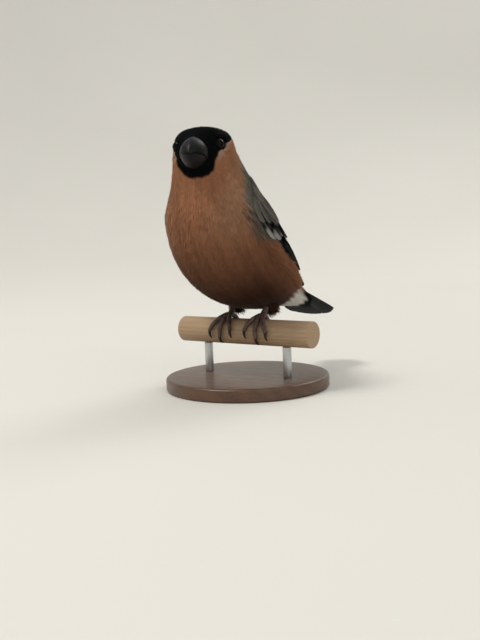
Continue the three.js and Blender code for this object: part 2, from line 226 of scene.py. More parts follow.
def trunk_normal(u, angle, step=1.7):
    turn = trunk_point(u, angle + step) - trunk_point(u, angle - step)
    return unit(np.cross(turn, tailward(u, angle, 0.05)))


WALK = np.linspace(0.15, LAST - 0.1, 700)
WALK_CENTRE, WALK_ALONG, WALK_SIZE = trunk_section(WALK)
POINTS_AT_ONCE = 4000


def trunk_place(points):
    """The station and the angle, from -180 to 180 degrees, of points near the trunk."""
    stations, angles = np.empty(len(points)), np.empty(len(points))
    for start in range(0, len(points), POINTS_AT_ONCE):
        some = slice(start, start + POINTS_AT_ONCE)
        away = points[some, None, 1:] - WALK_CENTRE[None]
        off = np.abs((away * WALK_ALONG).sum(-1)) + 0.02 * size(away)
        k = off.argmin(1)
        back = np.stack([-WALK_ALONG[k, 1], WALK_ALONG[k, 0]], -1)
        height = (away[np.arange(len(k)), k] * back).sum(-1)
        high = height / np.where(height > 0, WALK_SIZE[k, 1], WALK_SIZE[k, 2])
        side = points[some, 0] / WALK_SIZE[k, 0]
        turn = np.arctan2(side, high)
        for _ in range(3):
            turn = np.arctan2(side / narrowing(WALK[k], np.cos(turn)), high)
        stations[some], angles[some] = WALK[k], np.degrees(turn)
    return stations, angles


# The head's frame: forward along the bill, to the bird's left, and up

HEAD_COS, HEAD_SIN = math.cos(HEAD_TURN), math.sin(HEAD_TURN)


def head_point(forward, side, up):
    forward, side, up = np.broadcast_arrays(forward, side, up)
    x = forward * HEAD_SIN + side * HEAD_COS
    return np.stack([x, HEAD_Y - forward * HEAD_COS + side * HEAD_SIN, HEAD_Z + up], -1)


def head_way(forward, side, up):
    """A direction given in the head's frame."""
    return unit(head_point(forward, side, up) - head_point(0.0, 0.0, 0.0))


def head_place(points):
    """The places of points in the head's frame, and their angles from the bill's axis in degrees."""
    x, y = points[:, 0], points[:, 1] - HEAD_Y
    forward, side = x * HEAD_SIN - y * HEAD_COS, x * HEAD_COS + y * HEAD_SIN
    local = np.stack([forward, side, points[:, 2] - HEAD_Z], -1)
    return local, np.degrees(np.arctan2(np.hypot(side, local[:, 2]), forward))


BILL_MIDDLE = head_point(15.0, 0.0, -1.0)
HEAD_MIDDLE = head_point(3.0, 0.0, 0.0)
EYES = {
    word: (head_point(EYE[0], side * EYE[1], EYE[2]), head_way(EYE_LOOK[0], side * EYE_LOOK[1], EYE_LOOK[2]))
    for side, word in ((1, "left"), (-1, "right"))
}


# Markings

# How far the black cap and bib reach from the bill's axis, by the turn from crown to throat
CAP_TURN = (0, 20, 40, 55, 65, 73, 89, 104, 116, 133, 162, 180)
CAP_REACH_LEFT = (128, 127, 122, 112, 94, 65, 46, 41, 40, 42.5, 41.5, 40.5)
CAP_REACH_RIGHT = (128, 127, 122, 112, 94, 71, 60, 58, 55, 49, 44, 40.5)

# The angle from the back at which grey meets orange, by station
SIDE_STATION = (0, 1.5, 2.5, 3.2, 3.7, 4.2, 4.9, 5.4, 5.7, 6.0, 6.4, 7.2, 8.2, 9.5, 12)
SIDE_ANGLE = (48, 54, 60, 74, 91, 104, 113, 113, 104, 94, 89, 85, 82, 80, 80)

# Where the greyish wash beside the mantle lies, in stations, and the pale rim under the eye, in turn
WASH_SPAN = (1.8, 3.0, 4.6, 5.7)
CHEEK_TURN = (40, 60, 84, 118)

# Two directions of slow waves that make the borders of the markings a little uneven
WAVES = np.array([(1.3, 0.9, 1.7), (-2.1, 1.6, 0.8)])


def past_cap(points):
    """How far points lie outside the black cap and bib, in degrees, and their turn round the bill's axis."""
    local, reach = head_place(points)
    turn = np.degrees(np.arctan2(np.abs(local[:, 1]), local[:, 2]))
    left, right = (np.interp(turn, CAP_TURN, edge) for edge in (CAP_REACH_LEFT, CAP_REACH_RIGHT))
    return reach - np.where(local[:, 1] < 0, right, left), turn


def from_thigh(points):
    """The distance of points from the middle of the nearer thigh."""
    return size(np.abs(points) * [1, 0, 0] + points * [0, 1, 1] - THIGH)


def markings(points):
    """The coat's colour at points, for the skin and what grows on it, with painted shade low on the belly
    and in faint bands, and how black and grey it is.
    """
    outside, turn = past_cap(points)
    wave = np.sin(points @ WAVES.T) @ (1.6, 1.1)
    u, angle = trunk_place(points)
    round_ = np.abs(angle)
    below = round_ - np.interp(u, SIDE_STATION, SIDE_ANGLE)
    wash = smooth(62, 14, below) * span(WASH_SPAN, u)
    cheek = smooth(11, 2, np.abs(outside - 5)) * span(CHEEK_TURN, turn)
    vent = smooth(8.4, 9.4, u + 0.1 * wave) * smooth(84, 112, round_) * smooth(9.5, 13.5, from_thigh(points))
    grey = 1 - smooth(-7, 7, below + 1.8 * wave)
    rump = smooth(7.6, 8.2, u + 0.08 * wave) * smooth(80, 60, round_)
    over_tail = smooth(9.9, 10.4, u + 0.08 * wave) * smooth(104, 90, round_)
    tail_root = smooth(10.3, 10.9, u + 0.08 * wave)
    cap = 1 - smooth(-1.5, 1.5, outside + 0.22 * wave)
    black = np.maximum(cap, np.maximum(over_tail, tail_root))
    # Painted shade: the lower belly and the lower sides are darkened, where less light reaches underneath
    low = smooth(4.3, 7.2, u) * smooth(70, 140, round_)
    # Faint vertical bands round the body, a little darker and lighter: painted shade and light, as the lie
    # of the feathers and thin cast shadows make them
    streak = 0.06 * np.sin(angle * 0.31 + 1.5 * np.sin(u * 1.3)) + 0.04 * np.sin(angle * 0.77 - u)
    colour = mix(ORANGE, ORANGE_PAINTED_SHADE, low[:, None]) * (1 + streak)[:, None]
    layers = (
        (ORANGE_GREYISH, 0.8 * wash), (CHEEK_EDGE, 0.9 * cheek), (WHITE, vent),
        (GREY, grey), (WHITE, rump), (BLACK, black),
    )
    for over, amount in layers:
        colour = mix(colour, over, amount[:, None])
    return colour, black, grey


# Making meshes

def placed(name, data):
    """A new object in the scene."""
    made = bpy.data.objects.new(name, data)
    bpy.context.scene.collection.objects.link(made)
    return made


def make(name, places, faces, material, slot, nodes, tint=None, uv=None, bake=None):
    """One piece from points in millimetres and faces, riding on the one body.

    A face of four corners that repeats its third one is a triangle."""
    mesh = bpy.data.meshes.new(name)
    faces = [face[:3] if face[2] == face[-1] else face for face in faces.tolist()]
    mesh.from_pydata((places * MM).tolist(), [], faces, shade_flat=False)
    corners = [corner for face in faces for corner in face]
    for layer, values in (("OFBake", bake), ("vane", uv)):
        if values is not None:
            made = mesh.uv_layers.new(name=layer)
            made.data.foreach_set("uv", values[corners].astype(np.float32).ravel())
    if tint is not None:
        colours = np.pad(tint, ((0, 0), (0, 1)), constant_values=1)
        made = mesh.color_attributes.new("tint", "FLOAT_COLOR", "POINT")
        made.data.foreach_set("color", colours.astype(np.float32).ravel())
    mesh.validate()
    mesh.materials.append(material)
    piece = placed(name, mesh)
    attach(piece, "root")
    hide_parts(*nodes)


def grid_faces(rows, columns, closed=False):
    """The quads of a grid of rows by columns, whose columns may close into a ring."""
    r, c = np.meshgrid(np.arange(rows - 1), np.arange(columns if closed else columns - 1), indexing="ij")
    right = (c + 1) % columns
    corners = [r * columns + c, r * columns + right, (r + 1) * columns + right, (r + 1) * columns + c]
    return np.stack([k.ravel() for k in corners], 1)


def capped_faces(rows, columns):
    """The faces of a closed grid with a fan at each end, round two more points."""
    total, c = rows * columns, np.arange(columns)
    following = (c + 1) % columns
    start = np.stack([np.full(columns, total), following, c, c], 1)
    end = np.stack([np.full(columns, columns + 1), c, following, following], 1) + total - columns
    return np.concatenate([grid_faces(rows, columns, closed=True), start, end])


def joined(parts):
    """Meshes given as (points, faces, ...) as one, with each further array joined too."""
    points, faces, *extras = zip(*parts)
    starts = np.cumsum([0, *map(len, points)])
    faces = [part + start for part, start in zip(faces, starts)]
    return [np.concatenate(rows) for rows in (points, faces, *extras)]


def turned_over(faces):
    """The faces seen from their other side, with a triangle's repeated corner still last."""
    faces = faces[:, ::-1]
    return np.where(faces[:, :1] == faces[:, 1:2], np.roll(faces, -1, 1), faces)


def make_sides(*pieces):
    """Makes each (name, left part, material, slot, node) on the left, and mirrored on the right."""
    for side in ("left", "right"):
        for name, (points, faces, *extras), material, slot, node in pieces:
            if side == "right":
                points, faces = points * [-1, 1, 1], turned_over(faces)
            make(f"{name}_{side}", points, faces, material, slot, (f"{node}_{side}",), *extras)


# Materials

class Nodes:
    """A material's node tree with short calls for the nodes used here."""

    def __init__(self, name):
        self.material = bpy.data.materials.new(name)
        self.material.use_nodes = True
        self.tree = self.material.node_tree
        self.shader = next(n for n in self.tree.nodes if n.type == "BSDF_PRINCIPLED")

    def node(self, kind, **values):
        made = self.tree.nodes.new("ShaderNode" + kind)
        for key, value in values.items():
            setattr(made, key, value)
        return made

    def link(self, out, to):
        self.tree.links.new(out, to)

    def surface(self, colour, roughness, **values):
        """Links colour and roughness to the shader, and sets its other sockets to values."""
        self.link(colour, self.shader.inputs["Base Color"])
        self.link(roughness, self.shader.inputs["Roughness"])
        for key, value in values.items():
            self.shader.inputs[key.replace("_", " ")].default_value = value

    def coordinates(self, scale=None):
        place = self.node("TexCoord").outputs["Object"]
        if scale is None:
            return place
        mapping = self.node("Mapping")
        mapping.inputs["Scale"].default_value = scale
        self.link(place, mapping.inputs["Vector"])
        return mapping.outputs["Vector"]

    def noise(self, scale, detail=3.0, rough=0.5, vector=None):
        made = self.node("TexNoise")
        for key, value in (("Scale", scale), ("Detail", detail), ("Roughness", rough)):
            made.inputs[key].default_value = value
        self.link(vector or self.coordinates(), made.inputs["Vector"])
        return made.outputs["Fac"]

    def ramp(self, value, *stops):
        made = self.node("ValToRGB")
        for element, (place, colour) in zip(made.color_ramp.elements, stops):
            element.position = place
            element.color = (*colour, 1)
        self.link(value, made.inputs["Fac"])
        return made.outputs["Color"]

    def range(self, value, low, high, start=0.3, end=0.7):
        made = self.node("MapRange")
        for key, number in (("From Min", start), ("From Max", end), ("To Min", low), ("To Max", high)):
            made.inputs[key].default_value = number
        self.link(value, made.inputs["Value"])
        return made.outputs["Result"]

    def math(self, operation, *values):
        made = self.node("Math", operation=operation)
        for socket, value in zip(made.inputs, values):
            if isinstance(value, (int, float)):
                socket.default_value = value
            else:
                self.link(value, socket)
        return made.outputs[0]

    def tinted(self, shade):
        """The mesh's own colour, darkened where shade is under 1."""
        tint = self.node("Attribute", attribute_name="tint").outputs["Color"]
        grey = self.ramp(shade, (0, (0, 0, 0)), (1, (1, 1, 1)))
        made = self.node("Mix", data_type="RGBA", blend_type="MULTIPLY")
        made.inputs[0].default_value = 1.0
        self.link(tint, made.inputs[6])
        self.link(grey, made.inputs[7])
        return made.outputs[2]

    def bump(self, height, distance, strength=0.6):
        made = self.node("Bump")
        made.inputs["Strength"].default_value = strength
        made.inputs["Distance"].default_value = distance
        self.link(height, made.inputs["Height"])
        self.link(made.outputs["Normal"], self.shader.inputs["Normal"])


def feather_material(name, roughness, sheen, sheen_tint, specular):
    """Soft plumage that takes its markings from the mesh, mottled and streaked finely."""
    n = Nodes(name)
    broad = n.range(n.noise(260, 2), 0.9, 1.06)
    fine = n.range(n.noise(2600, 3, 0.6), 0.82, 1.14)
    rough = n.range(n.noise(1500, 2), roughness - 0.08, roughness + 0.08)
    n.surface(n.tinted(n.math("MULTIPLY", broad, fine)), rough, Sheen_Weight=sheen, Sheen_Roughness=0.4,
              Sheen_Tint=(*sheen_tint, 1), Specular_IOR_Level=specular)
    n.bump(n.noise(3800, 2), 0.00012, 0.5)
    return n.material


def vane_material(name, roughness, barbs):
    """A stiff feather: fine oblique barbs on both sides of the shaft, and a slight blue gloss."""
    n = Nodes(name)
    apart = n.node("SeparateXYZ")
    n.link(n.node("UVMap", uv_map="vane").outputs["UV"], apart.inputs[0])
    aside = n.math("ABSOLUTE", n.math("SUBTRACT", apart.outputs[0], 0.5))
    slant = n.math("SUBTRACT", apart.outputs[1], n.math("MULTIPLY", aside, 0.35))
    wave = n.math("SINE", n.math("MULTIPLY", slant, barbs))
    uneven = n.noise(900, 3)
    height = n.math("ADD", n.math("MULTIPLY", wave, 0.5), uneven)
    rough = n.range(uneven, roughness - 0.07, roughness + 0.09)
    n.surface(n.tinted(n.range(height, 0.78, 1.12, 0.0, 1.0)), rough, Sheen_Weight=0.01,
              Sheen_Tint=(0.45, 0.52, 0.8, 1), Specular_IOR_Level=0.05)
    n.bump(height, 0.00008, 0.7)
    return n.material


def horn_material(name, dark, pale, roughness):
    """Horn: smooth growth layers, with faint scratches and worn, paler patches."""
    n = Nodes(name)
    streak = n.noise(420, 5, 0.6, n.coordinates((1, 1, 2.6)))
    rough = n.range(n.noise(1400, 3), roughness - 0.08, roughness + 0.12)
    n.surface(n.ramp(streak, (0.3, dark), (0.72, pale)), rough, Specular_IOR_Level=0.16)
    n.bump(n.noise(1900, 4), 0.00006, 0.5)
    return n.material


def mottled(name, scale, dark, pale, rough, fine=0.5, stretch=None, **values):
    """A surface coloured and roughened by one noise."""
    n = Nodes(name)
    mottle = n.noise(scale, 4, fine, n.coordinates(stretch))
    n.surface(n.ramp(mottle, (0.3, dark), (0.7, pale)), n.range(mottle, *rough), **values)
    return n, mottle


def leg_material():
    """Leathery skin of small cells, mottled."""
    n, _ = mottled("leg_skin", 700, LEG_DARK, LEG_PALE, (0.62, 0.45))
    cells = n.node("TexVoronoi")
    cells.inputs["Scale"].default_value = 1900
    n.link(n.coordinates(), cells.inputs["Vector"])
    n.bump(cells.outputs["Distance"], 0.00008, 0.5)
    return n.material


def eye_material():
    n = Nodes("eye")
    streak = n.range(n.noise(2400, 4), 0.7, 1.25)
    n.surface(n.tinted(streak), n.range(n.noise(800, 2), 0.05, 0.09), Specular_IOR_Level=0.08)
    return n.material


# The height of the middle of the wood's rings, in metres
WOOD_HEART = 0.021


def wood_material(name, dark, pale, rings, roughness, coat):
    """Wood whose grain runs along X, with pores and rings that show on its ends."""
    n = Nodes(name)
    place = n.coordinates((0.14, 1, 1))
    warp = n.noise(38, 3, 0.5, place)
    apart = n.node("SeparateXYZ")
    n.link(place, apart.inputs[0])
    high = n.math("SUBTRACT", apart.outputs[2], WOOD_HEART)
    squares = [n.math("MULTIPLY", way, way) for way in (apart.outputs[1], high)]
    radius = n.math("SQRT", n.math("ADD", *squares))
    phase = n.math("ADD", n.math("MULTIPLY", radius, rings), n.math("MULTIPLY", warp, 9.0))
    ring = n.math("MULTIPLY", n.range(n.math("SINE", phase), 0.0, 1.0, -1.0, 1.0), 0.2)
    pores = n.noise(1500, 4, 0.65, n.coordinates((0.07, 1, 1)))
    grain = n.math("ADD", ring, n.math("MULTIPLY", pores, 0.8))
    rough = n.range(pores, roughness - 0.1, roughness + 0.1)
    n.surface(n.ramp(grain, (0.15, dark), (0.85, pale)), rough, Coat_Weight=coat, Coat_Roughness=0.25)
    n.bump(n.math("ADD", pores, ring), 0.00015)
    return n.material


def steel_material():
    n, brushed = mottled(
        "brushed_steel", 900, STEEL_DARK, STEEL_PALE, (0.24, 0.4), 0.6, (1, 1, 14), Metallic=1.0)
    n.bump(brushed, 0.00003, 0.4)
    return n.material


COAT = feather_material("soft_plumage", 0.9, 0.12, (1.0, 0.88, 0.78), 0.08)
CAP = feather_material("cap_plumage", 0.6, 0.0, (0.55, 0.62, 0.9), 0.03)
VANES = vane_material("flight_feather", 0.46, 420.0)
HORN = horn_material("bill_horn", BILL_DARK, BILL_PALE, 0.42)
CLAW = horn_material("claw_horn", CLAW_DARK, CLAW_PALE, 0.34)
LEG = leg_material()
EYEBALL = eye_material()


# The skin

FLESH = ("head", "neck", "torso", "thigh_left", "thigh_right")
SKIN_SWELL = 0.3
SKIN_VOXEL = 0.75
SKIN_GAP = 0.05
# The skin's colour is the markings darkened by this factor: painted shade under and between the feathers
SKIN_PAINTED_SHADE = 0.6
SKIN_RELAXING, SKIN_FAIRING, SKIN_FAIRING_LAST = 12, 40, 12
COAT_DEEP, COAT_THIN = 1.15, 0.42

# Where the skin is drawn to the trunk's own surface, and where on the breast from further off, in stations
SETTLED = (1.2, 2.2, 10.8, 11.6)
SETTLED_BREAST = (3.8, 4.6, 6.6, 7.0)


def coat_depth(points):
    """How far the skin lies under the coat's surface: least round the bill and the eyes."""
    local, reach = head_place(points)
    near = 1 - smooth(30, 95, reach) * smooth(8, 16, size(local) + 3)
    return mix(COAT_DEEP, COAT_THIN, near)


def unwrap(u, angle):
    """A flat place for a station and an angle, in an unwrap of the trunk's own surface."""
    return np.stack([0.02 + 0.96 * (angle + 180) / 360, 0.02 + 0.96 * u / LAST], -1)


def fair(points, triangles, rounds):
    """Smooths a mesh in pairs of steps, in and out, so that facets go and the size stays."""
    ends = np.concatenate([triangles[:, [0, 1]], triangles[:, [1, 2]], triangles[:, [2, 0]]])
    ends = ends[np.argsort(ends[:, 0], kind="stable")]
    starts = np.searchsorted(ends[:, 0], np.arange(len(points)))
    count = np.bincount(ends[:, 0], minlength=len(points))[:, None]
    for amount in (0.5, -0.53) * rounds:
        mean = np.add.reduceat(points[ends[:, 1]], starts) / count
        points = points + amount * (mean - points)
    return points


def settle(points):
    """Puts points that lie near the trunk's surface on it, which takes out the solids' facets and joints."""
    u, angle = trunk_place(points)
    centre = trunk_section(u)[0]
    middle = np.stack([0 * u, centre[:, 0], centre[:, 1]], -1)
    off = size(points - middle) - size(trunk_point(u, angle) - middle)
    wider = 1.4 * span(SETTLED_BREAST, u) * smooth(70, 95, np.abs(angle))
    hold = smooth(1.3 + wider, 0.7 + wider, np.abs(off)) * span(SETTLED, u)
    return points - unit(points - middle) * (off * hold)[:, None]


def read(items, key, kind=float):
    """An attribute of three numbers of each of a mesh's items."""
    values = np.empty(len(items) * 3, kind)
    items.foreach_get(key, values)
    return values.reshape(-1, 3)


def merged_flesh():
    """The nodes of flesh, swollen until they touch, as the points and triangles of one mesh."""
    places, faces, offset = [], [], 0
    for name in FLESH:
        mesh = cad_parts[name].data
        places.append(read(mesh.vertices, "co") + SKIN_SWELL * MM * read(mesh.vertices, "normal"))
        faces += [tuple(v + offset for v in p.vertices) for p in mesh.polygons]
        offset += len(places[-1])
    mesh = bpy.data.meshes.new("skin_source")
    mesh.from_pydata(np.concatenate(places).tolist(), [], faces)
    source = placed("skin_source", mesh)
    voxels = source.modifiers.new("voxels", "REMESH")
    voxels.mode, voxels.voxel_size = "VOXEL", SKIN_VOXEL * MM
    relax = source.modifiers.new("relax", "SMOOTH")
    relax.factor, relax.iterations = 0.5, SKIN_RELAXING
    evaluated = source.evaluated_get(bpy.context.evaluated_depsgraph_get())
    made = evaluated.to_mesh()
    made.calc_loop_triangles()
    points, triangles = read(made.vertices, "co") / MM, read(made.loop_triangles, "vertices", int)
    evaluated.to_mesh_clear()
    bpy.data.objects.remove(source)
    bpy.data.meshes.remove(mesh)
    return points, triangles


def corner_cross(points, triangles):
    """Each triangle's corners, and the cross product of its two sides."""
    corners = points[triangles]
    return corners, np.cross(corners[:, 1] - corners[:, 0], corners[:, 2] - corners[:, 0])


def skin_mesh():
    """The flesh as one smooth skin, set in by the coat's depth."""
    points, triangles = merged_flesh()
    points = fair(settle(fair(points, triangles, SKIN_FAIRING)), triangles, SKIN_FAIRING_LAST)
    normals = np.zeros_like(points)
    _, cross = corner_cross(points, triangles)
    for k in range(3):
        np.add.at(normals, triangles[:, k], cross)
    normals = unit(normals)
    return points - normals * (coat_depth(points) + SKIN_GAP)[:, None], normals, triangles


skin_points, skin_normals, skin_faces = skin_mesh()
# The skin takes the markings darkened as painted shade under the coat
make("skin", skin_points, skin_faces, COAT, "breast_feathers", FLESH,
     tint=markings(skin_points)[0] * SKIN_PAINTED_SHADE, bake=unwrap(*trunk_place(skin_points)))


# The coat

CAP_LOOK, COAT_LOOK = (CAP, "cap_feathers"), (COAT, "breast_feathers")
NEIGHBOURS = tuple(itertools.product((-1, 0, 1), repeat=3))
ROOTS_TRIED, COVERTS_TRIED = 90000, 3300

# A barb: its steps and its width at each, then for each of its points the step, the side and how much
# the depth of the coat darkens it, as grey feather bases and painted shade (its tip a little lighter), and
# its faces
BARB_STEPS = np.array([0.0, 0.38, 0.74, 1.0])
BARB_WIDTHS = np.array([0.8, 1.0, 0.72, 0.0])
BARB_POINTS = np.array([0, 0, 1, 1, 2, 2, 3])
BARB_SIDES = np.array([-1, 1, -1, 1, -1, 1, 1])[:, None]
BARB_GREY_AND_SHADE = np.array([1, 1, 0.3, 0.3, 0, 0, -0.12])
BARB_FACES = np.array([[0, 1, 3, 2], [2, 3, 5, 4], [4, 5, 6, 6]])
BARB_TRIANGLES = 5
MOST_TRIANGLES = 190000
CAP_BARBS, COAT_BARBS, COVERT_BARBS, BRISTLE_BARBS, RIM_BARBS = 9, 13, 15, 7, 5

# The coat's feathers, from the plain ones to the finest: how far apart, long, wide and darkened at the root,
# for grey bases and painted shade
APART, LONG, WIDE, ROOT_GREY_AND_SHADE = (0.98, 0.43), (6.4, 2.1), (0.26, 0.14), (0.34, 0.06)

# The folded wing, which no feather of the body grows over: its lower edge by station
UNDER_WING_U = (5.0, 5.4, 6.0, 6.8, 7.6)
UNDER_WING_ANGLE = (97, 101, 100, 97, 87)
UNDER_WING_TOP = 44

# Where the flank feathers stand over the wing's edge: stations and angles, and those at the wing's bend
FLANK_SPAN = (4.9, 5.5, 7.8, 8.6)
FLANK_LIFT, FLANK_TURN, FLANK_LONGER = 2.1, 0.2, 0.25
FLANK_U, FLANK_TOP, FLANK_FULL = (5, 6.5), (118, 110), (108, 101)
BEND_SPAN, BEND_TURN = (4.0, 4.5, 5.0, 5.7), (97, 101, 107, 116)

# The coverts' lower edge by station
COVERTS_U = (3.9, 4.2, 4.5, 4.8, 5.05, 5.25, 5.6, 6.9)
COVERTS_ANGLE = (76, 92, 103, 103, 93, 72, 42, 26)
ARM_TURN = (24, 38, 90, 101)

# Rows of bristles: how far forward, how far round the bill in degrees, and how many
BRISTLES = ((11.6, 78, 110), (12.6, 74, 90), (13.4, 64, 60))

# Rows of feathers round an eye: how far from the middle of its front in degrees, and how many
EYE_RIMS = ((58, 70), (66, 76), (75, 80))


def lie(points, normals):
    """The way the coat lies: away from the bill on the head, then down the body."""
    u, angle = trunk_place(points)
    way = mix(unit(points - BILL_MIDDLE), unit(tailward(u, angle)), smooth(1.3, 3.4, u)[:, None])
    way = mix(way, np.array([0, 0.1, -1.0]), 0.7 * smooth(9, 5, from_thigh(points))[:, None])
    return flatten(way, normals), u, angle


def scatter(spacing_at, count):
    """Roots spread over the skin, no two nearer than spacing_at gives for their place."""
    corners, cross = corner_cross(skin_points, skin_faces)
    area = size(cross) / spacing_at(corners.mean(1)) ** 2
    chosen = rng.choice(len(area), count, p=area / area.sum())
    a, b = rng.random((2, count))
    flip = a + b > 1
    a, b = np.where(flip, 1 - a, a), np.where(flip, 1 - b, b)
    weights = np.stack([1 - a - b, a, b], 1)[..., None]
    points = (corners[chosen] * weights).sum(1)
    normals = unit((skin_normals[skin_faces[chosen]] * weights).sum(1))
    spacing = spacing_at(points)
    cells, kept, cell = {}, [], spacing.max()
    for i, (p, gap) in enumerate(zip(points.tolist(), spacing.tolist())):
        x, y, z = (int(v // cell) for v in p)
        near = (q for dx, dy, dz in NEIGHBOURS for q in cells.get((x + dx, y + dy, z + dz), ()))
        if all(math.dist(p, q) >= gap for q in near):
            cells.setdefault((x, y, z), []).append(p)
            kept.append(i)
    return points[kept], normals[kept]


def feather_data(points, normals, ways, u, angle, **numbers):
    """What feathers grow from: where, which way, and further numbers that may be one for all."""
    data = {"points": points, "normals": normals, "ways": ways, "u": u, "bake": unwrap(u, angle)}
    for key, value in numbers.items():
        data[key] = value + np.zeros((len(u), 1) if key == "colour" else len(u))
    return data


def feathers(data, barbs):
    """Soft body feathers: each a fan of thin barbs from one root, bent back along the body.

    Each barb takes the coat's markings where it lies, unless the feathers have their own colours."""
    def each(key):
        return data[key][:, None, None]

    n, ways, normals = len(data["u"]), each("ways"), each("normals")
    aside = np.cross(normals, ways)
    fan = np.linspace(-1, 1, barbs)[:, None] + rng.normal(0, 0.6 / barbs, (n, barbs, 1))
    reach = each("length") * (1 - 0.3 * fan ** 2) * rng.uniform(0.86, 1.08, (n, barbs, 1)) * BARB_STEPS
    lift = each("rise") * rng.uniform(0.8, 1.2, (n, barbs, 1)) * (1.9 * BARB_STEPS - 0.95 * BARB_STEPS ** 2)
    bent = fan * each("spread") * (1 - 0.45 * BARB_STEPS)
    cosine, sine = np.cos(bent)[..., None], np.sin(bent)[..., None]
    middle = each("points") + cosine * reach[..., None] * ways
    middle = middle + (sine * reach[..., None] + (fan * each("length") * 0.05)[..., None]) * aside
    middle = middle + (lift - 0.1 * np.abs(fan) * BARB_STEPS)[..., None] * normals
    edge = cosine * aside - sine * ways
    half = (0.5 * BARB_WIDTHS * each("width"))[..., None]
    points = middle[:, :, BARB_POINTS] + (edge * half)[:, :, BARB_POINTS] * BARB_SIDES
    faces = (np.arange(n * barbs)[:, None, None] * len(BARB_POINTS) + BARB_FACES).reshape(-1, 4)
    grain = rng.uniform(0.9, 1.1, (n, barbs, 1, 1)) * rng.uniform(0.95, 1.05, (n, 1, 1, 1))
    if "colour" in data:
        colour = each("colour")
    else:
        colour = markings(middle[:, :, 1:].reshape(-1, 3))[0].reshape(n, barbs, 3, 3)
        colour = colour[:, :, np.maximum(BARB_POINTS, 1) - 1]
    # Each barb darkens towards its root, for grey feather bases and painted shade within the coat, and
    # lightens a little at its tip
    tint = colour * (1 - each("deep") * BARB_GREY_AND_SHADE)[..., None] * grain
    patch = np.stack(np.broadcast_arrays(fan * 0.5, BARB_STEPS[BARB_POINTS] - 0.5), -1) * 0.003
    bake = each("bake") + patch
    return points.reshape(-1, 3), faces, tint.reshape(-1, 3), bake.reshape(-1, 2)


def coat_pieces(name, data, barbs, look, nodes=FLESH, chosen=None):
    """Makes the chosen feathers as pieces that each stay under MOST_TRIANGLES triangles."""
    index = np.arange(len(data["u"])) if chosen is None else np.flatnonzero(chosen)
    index = index[np.argsort(data["u"][index], kind="stable")]
    most = MOST_TRIANGLES // (BARB_TRIANGLES * barbs)
    for number, start in enumerate(range(0, len(index), most)):
        part = {key: value[index[start:start + most]] for key, value in data.items()}
        points, faces, tint, bake = feathers(part, barbs)
        make(f"{name}_{number + 1}", points, faces, *look, nodes, tint=tint, bake=bake)


def bill_ring(forward):
    """How far along the bill a place is, from 0 to 1, and how wide the bill is there."""
    t = np.clip((forward - BILL_ROOT) / (BILL_TIP - BILL_ROOT), 0, 1)
    return t, np.sqrt(np.maximum(1 - (2 * t - 1) ** 2, 0.01))


def in_the_way(points):
    """Points whose feathers would grow through the eyes, the bill or the folded wing."""
    blocked = np.zeros(len(points), bool)
    for centre, _ in EYES.values():
        blocked |= size(points - centre) < EYE_RADIUS + 0.3
    local, _ = head_place(points)
    t, ring = bill_ring(local[:, 0])
    up = local[:, 2] - BILL_UP + BILL_DROOP * t ** 3
    inside = (local[:, 1] / (BILL_WIDE * ring)) ** 2 + (up / (BILL_TOP * ring)) ** 2 < 0.86
    blocked |= inside & (local[:, 0] > BILL_ROOT)
    u, angle = trunk_place(points)
    turn = np.abs(angle)
    under_wing = (turn > UNDER_WING_TOP) & (turn < np.interp(u, UNDER_WING_U, UNDER_WING_ANGLE))
    return blocked | under_wing & (u > UNDER_WING_U[0]) & (u < UNDER_WING_U[-1])


def fineness(points):
    """1 where the feathers are smallest, on the face, and still high over the sleek cap and its border."""
    local, reach = head_place(points)
    face = (1 - smooth(45, 110, reach)) * smooth(24, 14, size(local))
    return np.maximum(face, 0.66 * smooth(22, 3, past_cap(points)[0]))


def flank_lift(u, turn):
    """1 where the flank feathers stand over the edge of the folded wing, else less, down to 0."""
    top, full = np.interp(u, FLANK_U, FLANK_TOP), np.interp(u, FLANK_U, FLANK_FULL)
    flank = span(FLANK_SPAN, u) * smooth(92, 98, turn) * smooth(top, full, turn)
    return np.maximum(flank, 0.8 * span(BEND_SPAN, u) * span(BEND_TURN, turn))


def grow_coat():
    """The feathers of cap, breast and mantle."""
    tried = ROOTS_TRIED
    points, normals = scatter(lambda places: mix(*APART, fineness(places)), tried)
    keep = ~in_the_way(points)
    points, normals = points[keep], normals[keep]
    for centre, _ in EYES.values():
        near_eye = smooth(5.6, 4.2, size(points - centre))[:, None]
        normals = unit(mix(normals, unit(points - HEAD_MIDDLE), 0.85 * near_eye))
    ways, u, angle = lie(points, normals)
    fine = fineness(points)
    _, black, grey = markings(points + ways * mix(2.2, 0.8, fine)[:, None])
    n = len(points)
    length = mix(*LONG, fine) * rng.uniform(0.85, 1.15, n)
    length *= 1 - 0.3 * smooth(3.6, 1.4, u) * (1 - fine)
    rise = coat_depth(points) * rng.uniform(0.85, 1.1, n) * mix(1, 0.8, fine)
    flank = flank_lift(u, np.abs(angle))
    round_up = trunk_point(u, angle * 0.97) - trunk_point(u, angle)
    ways = unit(ways + FLANK_TURN * flank[:, None] * unit(round_up))
    data = feather_data(
        points, normals, ways, u, angle,
        length=length * (1 + FLANK_LONGER * flank), spread=0.42 + rng.normal(0, 0.04, n),
        rise=rise + FLANK_LIFT * flank, width=mix(*WIDE, fine), deep=mix(*ROOT_GREY_AND_SHADE, fine),
    )
    dark = black > 0.5
    mantle = (grey > 0.5) & ~dark
    coat_pieces("coat_cap", data, CAP_BARBS, CAP_LOOK, chosen=dark)
    coat_pieces("coat_breast", data, COAT_BARBS, COAT_LOOK, chosen=~dark & ~mantle)
    coat_pieces("coat_mantle", data, COAT_BARBS, COAT_LOOK, chosen=mantle)


def arm_lift(u, angle):
    """The height of the folded arm's surface over the trunk, low at its rims."""
    return 0.2 + 1.4 * smooth(4.2, 5.2, u) * span(ARM_TURN, angle)


